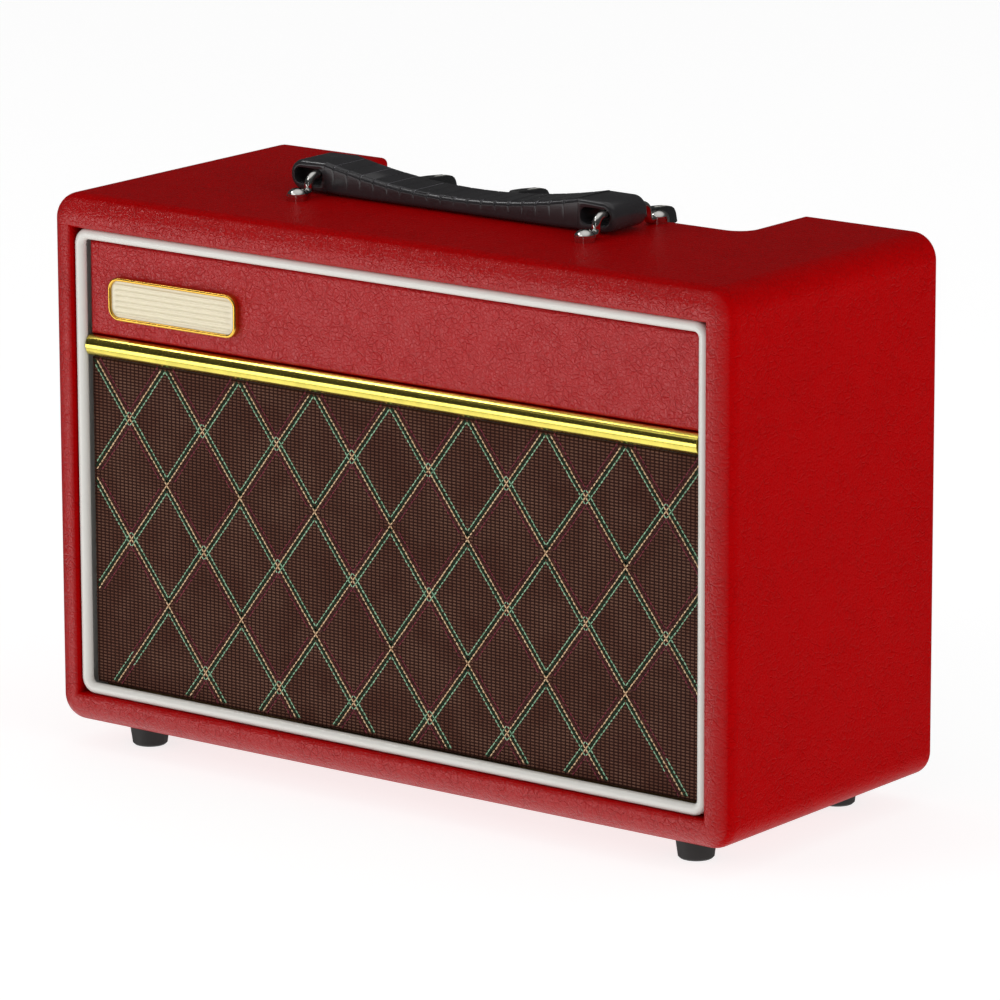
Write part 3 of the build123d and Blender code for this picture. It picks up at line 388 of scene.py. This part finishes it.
def cloth_sheet():
    """The woven ground: every float stands up from the cloth, and the edges fold back round the frame."""
    row_step = WEAVE_ROW / MM / 2
    column_step = WEAVE_COLUMN / MM / 2
    rows = np.arange(cloth_low[2] + cloth_fold, cloth_high[2] - cloth_fold, row_step)
    columns = np.arange(cloth_low[0] + cloth_fold, cloth_high[0] - cloth_fold, column_step)
    # the fold at an edge, as (outwards, backwards) from the last flat row
    fold = [(0.35, 0.1), (cloth_fold, 0.5), (cloth_fold, 1.4), (cloth_fold, turned_back)]
    z_values = ([(rows[0] - out, back) for out, back in reversed(fold)] + [(z, 0.0) for z in rows]
                + [(rows[-1] + out, back) for out, back in fold])
    x_values = ([(columns[0] - out, back) for out, back in reversed(fold)]
                + [(x, 0.0) for x in columns] + [(columns[-1] + out, back) for out, back in fold])
    points = []
    for row, (z, z_back) in enumerate(z_values):
        for column, (x, x_back) in enumerate(x_values):
            back = max(z_back, x_back)
            crest = row % 2 == 0 and column % 2 == 0
            lift = weave_relief if crest and back == 0.0 else 0.0
            points.append((x, cloth_front + ground_depth + back - lift, z))
    return piece("grille_cloth_ground", points, grid_faces(len(z_values), len(x_values)),
                 finish["grille_fabric"], "cabinet")


cloth = cloth_sheet()
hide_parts("grille_cloth")

# The pattern is a diamond lattice whose lines run from an A node down to a B node, half a cell
# across and half a diamond down, and on to the next A node. On each line lies a cream thread. To
# one side of it are two dark green threads and a light green one, and to the other side two
# red-brown threads and a maroon one. The light green threads run past the A nodes into a knot.
lattice_x = 1.5
lattice_top = 186.6
half_cell = 21.6
half_rise = 28.27
lattice_levels = range(-1, 7)
lattice_columns = range(-5, 6)
stitch_rise = 1.8
stitch_margin = 1.4
stitch_base = 0.14
stitch_top_share = 0.62
knot_reach = 3.5 / half_rise


def stitch_rows(offset, start, end, flip):
    """Middles of the stitches of every thread with this offset from its line.

    start and end are where the thread begins and stops between two nodes, 0 to 1 counted from the
    B node. flip mirrors left and right."""
    middles = []
    steps = int(round((end - start) * half_rise / stitch_rise))
    for level in lattice_levels:
        for column in lattice_columns:
            from_b_node = level % 2 == 0
            first, last = (start, end) if from_b_node else (1 - end, 1 - start)
            side = offset if from_b_node else -offset
            for step in range(steps):
                along = first + (step + 0.5) * (last - first) / steps
                x = half_cell * (level + along) + 2 * half_cell * column + side
                z = lattice_top - half_rise * (level + along)
                middles.append((lattice_x + (-x if flip else x), z))
    return middles


def stitches(name, offsets, width, length, height, material, start=0.0, end=1.0):
    """Raised stitches, each a small rounded float that lies along its line."""
    points, faces = [], []
    x_low, x_high = cloth_low[0] + stitch_margin, cloth_high[0] - stitch_margin
    z_low, z_high = cloth_low[2] + stitch_margin, cloth_high[2] - stitch_margin
    slope = math.hypot(half_cell, half_rise)
    # round a stitch: shares of its length and of its half width
    outline = [(-0.5, 0.0), (-0.32, 0.8), (0.0, 1.0), (0.32, 0.8), (0.5, 0.0), (0.32, -0.8),
               (0.0, -1.0), (-0.32, -0.8)]
    for flip in (False, True):
        along = Vector(((-half_cell if flip else half_cell) / slope, -half_rise / slope))
        across = Vector((-along.y, along.x))
        for offset in offsets:
            for x, z in stitch_rows(offset, start, end, flip):
                if not (x_low < x < x_high and z_low < z < z_high):
                    continue
                size = 1 + 0.10 * rng.standard_normal()
                x += 0.06 * rng.standard_normal()
                first = len(points)
                for share, lift in ((1.0, 0.0), (stitch_top_share, height)):
                    for end_share, side in outline:
                        u = end_share * length * size * share
                        v = side * width / 2 * share
                        points.append((x + along.x * u + across.x * v,
                                       cloth_front + stitch_base - lift,
                                       z + along.y * u + across.y * v))
                ring = len(outline)
                for i in range(ring):
                    j = (i + 1) % ring
                    faces.append((first + i, first + j, first + ring + j, first + ring + i))
                faces.append(tuple(first + ring + i for i in range(ring)))
    return piece(name, points, faces, material, "cabinet")


threads = [
    stitches("grille_threads_dark_green", (-1.05, -1.75), 1.0, 2.4, 0.16,
             yarn("dark_green_yarn", srgb(26, 46, 26), srgb(12, 26, 12)), 0.04, 1.0),
    stitches("grille_threads_red_brown", (1.25, 2.0), 0.8, 2.1, 0.15,
             yarn("red_brown_yarn", srgb(70, 28, 26), srgb(48, 18, 16)), 0.05, 0.95),
    stitches("grille_threads_maroon", (2.9,), 0.6, 2.1, 0.20,
             yarn("maroon_yarn", srgb(128, 48, 62), srgb(98, 34, 52)), 0.07, 0.92),
    stitches("grille_threads_green", (-2.7,), 0.62, 2.1, 0.28,
             yarn("mint_green_yarn", srgb(164, 206, 172), srgb(112, 160, 126)), 0.13, 1.0 + knot_reach),
    stitches("grille_threads_cream", (0.0,), 0.62, 2.1, 0.34,
             yarn("cream_yarn", srgb(238, 208, 168), srgb(206, 164, 120))),
]


# ---- the strap handle ------------------------------------------------------------------------

strap_low, strap_high = mm_box("handle_grip")
loops_low, loops_high = mm_box("handle_loops")
loop_half_box = 4.8
slot_inward = 5.6
slot_middles = (loops_low[0] + loop_half_box - slot_inward, loops_high[0] - loop_half_box - slot_inward)
slot_length, slot_height, slot_z = 16.2, 7.4, 268.1
slot_corner = 3.2

block_length = 22.0
block_bottom = 261.0
block_end_radius = 7.05
block_inner_radius = 0.8
block_points = 48

strap_middle_x = (strap_low[0] + strap_high[0]) / 2
strap_half_width = (strap_high[1] - strap_low[1]) / 2
strap_top_end = 275.1
strap_top_middle = 267.8
strap_underside = strap_low[2]
strap_edge_radius = 2.3
strap_points = 96
strap_in_block = 1.5
strap_first = strap_low[0] + block_length - strap_in_block
strap_last = strap_high[0] - block_length + strap_in_block

plain_end = 5.0
groove_pitch = 7.65
groove_depth = 0.42
groove_half_width = 0.42
light_line_half_width = 0.2
first_groove = strap_first + plain_end


def rounded_loop(x_low, x_high, z_low, z_high, radius, count, left_radius=None):
    """A closed loop of points round a rectangle with rounded corners, from its right upper corner."""
    left = radius if left_radius is None else left_radius
    centres = ((x_high - radius, z_high - radius, radius, 0), (x_low + left, z_high - left, left, 90),
               (x_low + left, z_low + left, left, 180), (x_high - radius, z_low + radius, radius, 270))
    corner_steps = count // 4
    loop = []
    for x, z, corner, first in centres:
        for step in range(corner_steps):
            angle = math.radians(first + 90 * step / (corner_steps - 1))
            loop.append((x + corner * math.cos(angle), z + corner * math.sin(angle)))
    return loop


def handle_block(x_inner, x_outer, slot_middle):
    """An end block: a rounded bar with a slot right through it. Its inner end runs into the strap."""
    count = block_points
    outward = 1 if x_outer > x_inner else -1
    low, high = block_bottom, strap_high[2]
    outer = [(x_inner + outward * x, z) for x, z in
             rounded_loop(0.0, abs(x_outer - x_inner), low, high, block_end_radius, count,
                          left_radius=block_inner_radius)]
    inner = [(slot_middle + outward * (x - slot_middle), z) for x, z in
             rounded_loop(slot_middle - slot_length / 2, slot_middle + slot_length / 2,
                          slot_z - slot_height / 2, slot_z + slot_height / 2, slot_corner, count)]
    middle = ((x_inner + x_outer) / 2, (low + high) / 2)

    def drawn_in(loop, centre, amount):
        moved = []
        for x, z in loop:
            away = Vector((x - centre[0], z - centre[1]))
            moved.append((x - away.x / away.length * amount, z - away.y / away.length * amount))
        return moved

    # rings from the outer wall over the front face into the slot and back round the rear face,
    # each as (drawn in by, depth behind the face)
    bevel = [(0.0, 2.2), (0.3, 1.1), (1.1, 0.3), (2.2, 0.0)]
    slot_edge = [(-0.16, 0.0), (-0.08, 0.04), (-0.02, 0.12), (0.0, 0.25)]
    half = strap_half_width
    rings = []
    for side in (-1, 1):
        face = []
        for inward, depth in bevel:
            ring = drawn_in(outer, middle, inward)
            face.append(([(outward * max(outward * x, outward * x_inner), z) for x, z in ring],
                         side * (half - depth)))
        for inward, depth in slot_edge:
            face.append((drawn_in(inner, (slot_middle, slot_z), inward), side * (half - depth)))
        rings += face if side < 0 else face[::-1]
    points = [(x, y, z) for loop, y in rings for x, z in loop]
    faces = grid_faces(len(rings), count, wrap_columns=True, wrap_rows=True)
    return points, [face[::-outward] for face in faces]


def strap_section(x):
    """One cross-section of the strap between the blocks, as (y, z) points."""
    reach = (x - strap_middle_x) / ((strap_high[0] - strap_low[0]) / 2 - block_length)
    top = strap_top_middle + (strap_top_end - strap_top_middle) * abs(reach) ** 2.0
    low = strap_underside + 0.3 * abs(reach) ** 8
    return rounded_loop(-strap_half_width, strap_half_width, low, top,
                        min(strap_edge_radius, (top - low) / 2 - 0.1), strap_points)


def from_groove(x):
    """How far x is from the nearest groove's line."""
    return abs((x - first_groove + groove_pitch / 2) % groove_pitch - groove_pitch / 2)


def is_grooved(x):
    """Whether x is in the stretch that has grooves and scales, clear of the plain ends."""
    return first_groove - 1 < x < strap_last - plain_end


def scale_height(x, y):
    """Relief of the crocodile pattern on the top: three or four scales across each rib."""
    rib = math.floor((x - first_groove) / groove_pitch)
    width = 6.2 + 0.9 * math.sin(rib * 2.1)
    shift = 3.1 * (rib % 2) + 0.8 * math.sin(rib * 1.7)
    across = abs(((y + shift) / width) % 1.0 - 0.5) * width
    return -0.30 * max(0.0, 1 - (width / 2 - across) / 0.45)


def handle_strap():
    """The strap: ribs between grooves on the top, scales on the ribs, smooth sides and underside.

    Also says of each face whether it lies in a groove, where the surface is coloured a lighter bluish grey."""
    fine_step, coarse_step = 0.16, 0.6
    xs = []
    x = strap_first
    while x < strap_last:
        xs.append(x)
        x += fine_step if from_groove(x) < 0.7 else coarse_step
    xs.append(strap_last)
    points = []
    for x in xs:
        section = strap_section(x)
        top = max(z for y, z in section)
        grooved = is_grooved(x)
        depth = groove_depth * max(0.0, 1 - from_groove(x) / groove_half_width) if grooved else 0.0
        for y, z in section:
            on_top = max(0.0, min(1.0, (z - (top - 2.7)) / 1.6))
            sink = depth * on_top
            if grooved and on_top > 0.95 and from_groove(x) > 0.4:
                sink -= scale_height(x, y)
            pull = 1 - sink / max(6.0, strap_half_width)
            points.append((x, y * pull, z - sink * on_top))
    faces = grid_faces(len(xs), strap_points, wrap_columns=True)
    light_line_faces = []
    for face in faces:
        x, y, z = np.mean([points[corner] for corner in face], axis=0)
        top = max(z for y, z in strap_section(x))
        light_line_faces.append(is_grooved(x) and from_groove(x) < light_line_half_width and z > top - 1.2)
    return points, faces, light_line_faces


handle_points, handle_faces, groove_faces = handle_strap()
for x_inner, x_outer, slot_middle in (
        (strap_low[0] + block_length, strap_low[0], slot_middles[0]),
        (strap_high[0] - block_length, strap_high[0], slot_middles[1])):
    end_points, end_faces = handle_block(x_inner, x_outer, slot_middle)
    first = len(handle_points)
    handle_points += end_points
    handle_faces += [tuple(first + i for i in face) for face in end_faces]
handle = piece("handle_moulding", handle_points, handle_faces, finish["handle"], "handle")
# the faces along the top of each groove get a light bluish grey colour of their own
handle.data.materials.append(moulded("light_grey_groove", srgb(112, 110, 116), 0.35, 0.01))
groove_faces += [False] * (len(handle.data.polygons) - len(groove_faces))
handle.data.polygons.foreach_set("material_index", [int(in_groove) for in_groove in groove_faces])
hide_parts("handle_grip", "handle_steel_strip")


# ---- the plaque ------------------------------------------------------------------------------

badge_low, badge_high = mm_box("badge")
plaque_middle = ((badge_low[0] + badge_high[0]) / 2, (badge_low[2] + badge_high[2]) / 2)
plaque_front = badge_low[1]
plaque_corner = 6.0
panel_front = mm_box("upper_front_panel")[0][1]


def plaque_rings(steps, count=64):
    """Rings of points round the plaque: each step is (drawn in by, depth behind the front)."""
    points = []
    for inward, depth in steps:
        loop = rounded_loop(badge_low[0] + inward, badge_high[0] - inward, badge_low[2] + inward,
                            badge_high[2] - inward, max(0.4, plaque_corner - inward), count)
        points += [(x, plaque_front + depth, z) for x, z in loop]
    return points, grid_faces(len(steps), count, wrap_columns=True)


rim_points, rim_faces = plaque_rings([(0.0, panel_front - plaque_front), (0.0, 0.7), (0.2, 0.2),
                                      (0.6, 0.0), (1.1, 0.0), (1.5, 0.2), (1.6, 0.6), (1.6, 1.6)])
plaque_rim = piece("plaque_rim", rim_points, rim_faces, finish["badge"], "cabinet")
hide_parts("badge")


def plaque_face():
    """The cream face: soft ribs that run the length of the plaque."""
    rib_pitch = 2.6
    rib_depth = 0.75
    inset = 1.55
    corner_radius = 4.4
    columns, rows = 60, 96
    xs = np.linspace(badge_low[0] + inset, badge_high[0] - inset, columns)
    zs = np.linspace(badge_low[2] + inset, badge_high[2] - inset, rows)
    points = []
    for z in zs:
        for x in xs:
            # ribs fade out before they reach the ends and the long edges
            end = min(x - xs[0], xs[-1] - x)
            edge = min(z - zs[0], zs[-1] - z)
            fade = min(1.0, max(0.0, (end - 2.6) / 1.0))
            fade *= min(1.0, max(0.0, (edge - 0.2) / 0.6))
            rib = max(0.0, math.cos(2 * math.pi * (z - plaque_middle[1] - rib_pitch / 2) / rib_pitch))
            # the grid's corners are drawn in to a round
            corner = Vector((max(0.0, corner_radius - end), max(0.0, corner_radius - edge)))
            inward = max(0.0, corner.length - corner_radius)
            toward = corner.normalized() * inward if corner.length else corner
            sign_x = 1 if x < plaque_middle[0] else -1
            sign_z = 1 if z < plaque_middle[1] else -1
            points.append((x + sign_x * toward.x, plaque_front + 1.15 - rib_depth * rib ** 0.6 * fade,
                           z + sign_z * toward.y))
    return points, grid_faces(len(zs), len(xs))


face_points, face_faces = plaque_face()
cream = moulded("cream_enamel", srgb(238, 228, 200), 0.26, 0.006, 1600.0, 0.03)
piece("plaque_face", face_points, face_faces, cream, "cabinet")


# ---- marks on the controls ---------------------------------------------------------------------

white_paint = moulded("white_marking", srgb(226, 224, 216), 0.4, 0.004, 1600.0, 0.1)
fascia_top = mm_box("control_fascia")[1][2]
knobs = ("gain", "treble", "bass", "volume")
tick_count = 11
tick_sweep = 300.0
tick_inner, tick_outer = 13.0, 15.4


def shaft_middle(knob):
    """Where a knob's shaft stands, as (x, y)."""
    low, high = mm_box(f"{knob}_shaft")
    return (low[0] + high[0]) / 2, (low[1] + high[1]) / 2


def pointer_line(knob):
    """A raised white line on the ridge of a knob, from near the middle to the tip."""
    x, control_y = shaft_middle(knob)
    ridge_top = mm_box(f"{knob}_knob")[1][2]
    # the ridge's side view: (behind the shaft, below the knob's highest point)
    ridge = [(1.5, -0.72), (9.5, -1.30), (12.6, -2.00), (14.6, -3.10)]
    points = []
    for lift, half in ((-0.3, 0.55), (0.10, 0.45)):
        for side in (-1, 1):
            points += [(x + side * half, control_y + y, ridge_top + drop + lift) for y, drop in ridge]
    last = len(ridge) - 1
    faces = [(0, 4, 12, 8), (last, 8 + last, 12 + last, 4 + last)]
    for i in range(last):
        faces += [(8 + i, 12 + i, 13 + i, 9 + i), (i, 8 + i, 9 + i, 1 + i), (4 + i, 5 + i, 13 + i, 12 + i),
                  (i, 1 + i, 5 + i, 4 + i)]
    return piece(f"{knob}_pointer_line", points, faces, white_paint, f"{knob}_control",
                 smooth=False)


def dial_ticks():
    """Eleven short strokes round each knob, from the lower left to the lower right."""
    points, faces = [], []
    for knob in knobs:
        x, control_y = shaft_middle(knob)
        for tick in range(tick_count):
            turn = math.radians(-tick_sweep / 2 + tick_sweep * tick / (tick_count - 1))
            along = Vector((math.sin(turn), math.cos(turn)))
            across = Vector((along.y, -along.x))
            half = 0.45 if tick in (0, tick_count // 2, tick_count - 1) else 0.28
            first = len(points)
            for z in (fascia_top - 0.05, fascia_top + 0.06):
                for out, side in ((tick_inner, -half), (tick_inner, half), (tick_outer, half),
                                  (tick_outer, -half)):
                    spot = along * out + across * side
                    points.append((x + spot.x, control_y + spot.y, z))
            faces += [tuple(first + i for i in face) for face in
                      ((0, 1, 2, 3), (4, 7, 6, 5), (0, 4, 5, 1), (1, 5, 6, 2), (2, 6, 7, 3), (3, 7, 4, 0))]
    return piece("dial_ticks", points, faces, white_paint, "cabinet", smooth=False)


for knob in knobs:
    pointer_line(knob)
dial_ticks()


# ---- camera, floor and light -----------------------------------------------------------------

view_azimuth = math.radians(37.43)
view_elevation = math.radians(13.38)
view_roll = math.radians(-0.17)
camera_place = Vector((1.8188, -2.3667, 0.8376))


def aimed(back, roll=0.0):
    """Rotation of a camera that looks along -back, with this roll about its line of sight."""
    back = Vector(back).normalized()
    right = (-back).cross(Vector((0, 0, 1))).normalized()
    up = right.cross(-back).normalized()
    turned_right = right * math.cos(roll) + up * math.sin(roll)
    turned_up = up * math.cos(roll) - right * math.sin(roll)
    return Matrix((turned_right, turned_up, back)).transposed().to_euler()


camera_data = bpy.data.cameras.new("camera")
camera_data.lens = 244.3
camera_data.sensor_width = 36.0
camera_data.clip_start = 0.1
camera_data.clip_end = 60.0
camera = bpy.data.objects.new("camera", camera_data)
camera.location = camera_place
camera.rotation_euler = aimed((math.sin(view_azimuth) * math.cos(view_elevation),
                               -math.cos(view_azimuth) * math.cos(view_elevation),
                               math.sin(view_elevation)), view_roll)
scene.collection.objects.link(camera)
scene.camera = camera
scene.view_settings.view_transform = "Standard"
scene.view_settings.look = "None"


def light(name, place, target, size, power):
    """A white soft box that faces its target; reflections don't see it."""
    data = bpy.data.lights.new(name, "AREA")
    data.shape = "RECTANGLE"
    data.size, data.size_y = size
    data.energy = power
    made = bpy.data.objects.new(name, data)
    made.location = place
    made.rotation_euler = aimed(Vector(place) - Vector(target))
    made.visible_glossy = False
    made.visible_camera = False
    scene.collection.objects.link(made)


def card(name, place, target, size, strength):
    """A glowing card that only reflections see: it lights nothing and casts no shadow."""
    half_x, half_y = size[0] / 2, size[1] / 2
    mesh = bpy.data.meshes.new(name)
    mesh.from_pydata([(-half_x, -half_y, 0), (half_x, -half_y, 0), (half_x, half_y, 0),
                      (-half_x, half_y, 0)], [], [(0, 1, 2, 3)])
    material = bpy.data.materials.new(name)
    material.use_nodes = True
    tree = material.node_tree
    tree.nodes.clear()
    glow = tree.nodes.new("ShaderNodeEmission")
    glow.inputs["Color"].default_value = (1, 1, 1, 1)
    glow.inputs["Strength"].default_value = strength
    out = tree.nodes.new("ShaderNodeOutputMaterial")
    tree.links.new(glow.outputs[0], out.inputs["Surface"])
    material.cycles.emission_sampling = "NONE"
    mesh.materials.append(material)
    made = bpy.data.objects.new(name, mesh)
    made.location = place
    made.rotation_euler = aimed(Vector(place) - Vector(target))
    made.visible_camera = False
    made.visible_diffuse = False
    made.visible_shadow = False
    made.visible_transmission = False
    made.visible_volume_scatter = False
    scene.collection.objects.link(made)


object_middle = Vector((0.0, 0.0, 0.14))

light("key_left_front", (-1.3, -1.9, 1.0), object_middle, (1.2, 1.2), 15.0)
light("side_right", (2.2, -0.2, 0.7), object_middle, (1.2, 1.2), 14.5)
light("top_fill", (0.0, 0.2, 2.2), object_middle, (1.6, 1.6), 4.0)

card("front_sheen", (-1.35, -1.8, -0.25), (0.0, -0.08, 0.14), (1.5, 0.9), 2.6)
card("edge_strip", (0.9, -2.3, 0.4), (0.19, -0.08, 0.14), (0.25, 1.4), 1.4)
card("handle_strip", (-1.2, -0.45, 1.65), object_middle, (0.55, 0.3), 7.0)
card("upper_box", (-0.5, -1.3, 1.7), object_middle, (1.2, 0.8), 1.2)


def floor():
    """A pale floor, slightly uneven, that reflections don't see."""
    mesh = bpy.data.meshes.new("floor")
    reach = 12.0
    mesh.from_pydata([(-reach, -reach, 0), (reach, -reach, 0), (reach, reach, 0),
                      (-reach, reach, 0)], [], [(0, 1, 2, 3)])
    paint = Paint("pale_floor", (0.35, 0.35, 0.35, 1.0), 0.9, Emission_Strength=0.80)
    paint.shader.inputs["Emission Color"].default_value = (1, 1, 1, 1)
    tint = paint.noise(1.5, 2.0)
    paint.colour(paint.mix(tint, (0.34, 0.34, 0.34, 1.0), (0.36, 0.36, 0.36, 1.0)))
    paint.material.cycles.emission_sampling = "NONE"
    mesh.materials.append(paint.material)
    made = bpy.data.objects.new("floor", mesh)
    made.visible_glossy = False
    scene.collection.objects.link(made)


floor()

world = bpy.data.worlds.new("studio")
world.use_nodes = True
world.cycles.sampling_method = "NONE"
sky = world.node_tree
sky.nodes.clear()
rays = sky.nodes.new("ShaderNodeLightPath")


def background(strength):
    made = sky.nodes.new("ShaderNodeBackground")
    made.inputs["Color"].default_value = (1, 1, 1, 1)
    made.inputs["Strength"].default_value = strength
    return made


def choose(condition, otherwise, chosen):
    made = sky.nodes.new("ShaderNodeMixShader")
    sky.links.new(condition, made.inputs[0])
    sky.links.new(otherwise, made.inputs[1])
    sky.links.new(chosen, made.inputs[2])
    return made.outputs[0]


seen = background(1.0)
fill = background(0.42)
mirrored = background(1.35)

# what reflections see: bright below and overhead, dark round the horizon
direction = sky.nodes.new("ShaderNodeTexCoord")
parts = sky.nodes.new("ShaderNodeSeparateXYZ")
sky.links.new(direction.outputs["Generated"], parts.inputs[0])
height = sky.nodes.new("ShaderNodeMapRange")
sky.links.new(parts.outputs["Z"], height.inputs["Value"])
height.inputs["From Min"].default_value = -1.0
studio = sky.nodes.new("ShaderNodeValToRGB")
sky.links.new(height.outputs[0], studio.inputs[0])
brightness = ((0.0, 1.0), (0.22, 0.85), (0.34, 0.05), (0.62, 0.03), (0.84, 0.06), (0.92, 0.45),
              (1.0, 0.6))
steps = studio.color_ramp.elements
for share, level in brightness[1:-1]:
    steps.new(share)
for step, (share, level) in zip(steps, brightness):
    step.position = share
    step.color = (level, level, level, 1.0)
sky.links.new(studio.outputs[0], mirrored.inputs["Color"])
surface = choose(rays.outputs["Is Glossy Ray"], fill.outputs[0], mirrored.outputs[0])
surface = choose(rays.outputs["Is Camera Ray"], surface, seen.outputs[0])
out = sky.nodes.new("ShaderNodeOutputWorld")
sky.links.new(surface, out.inputs["Surface"])
scene.world = world
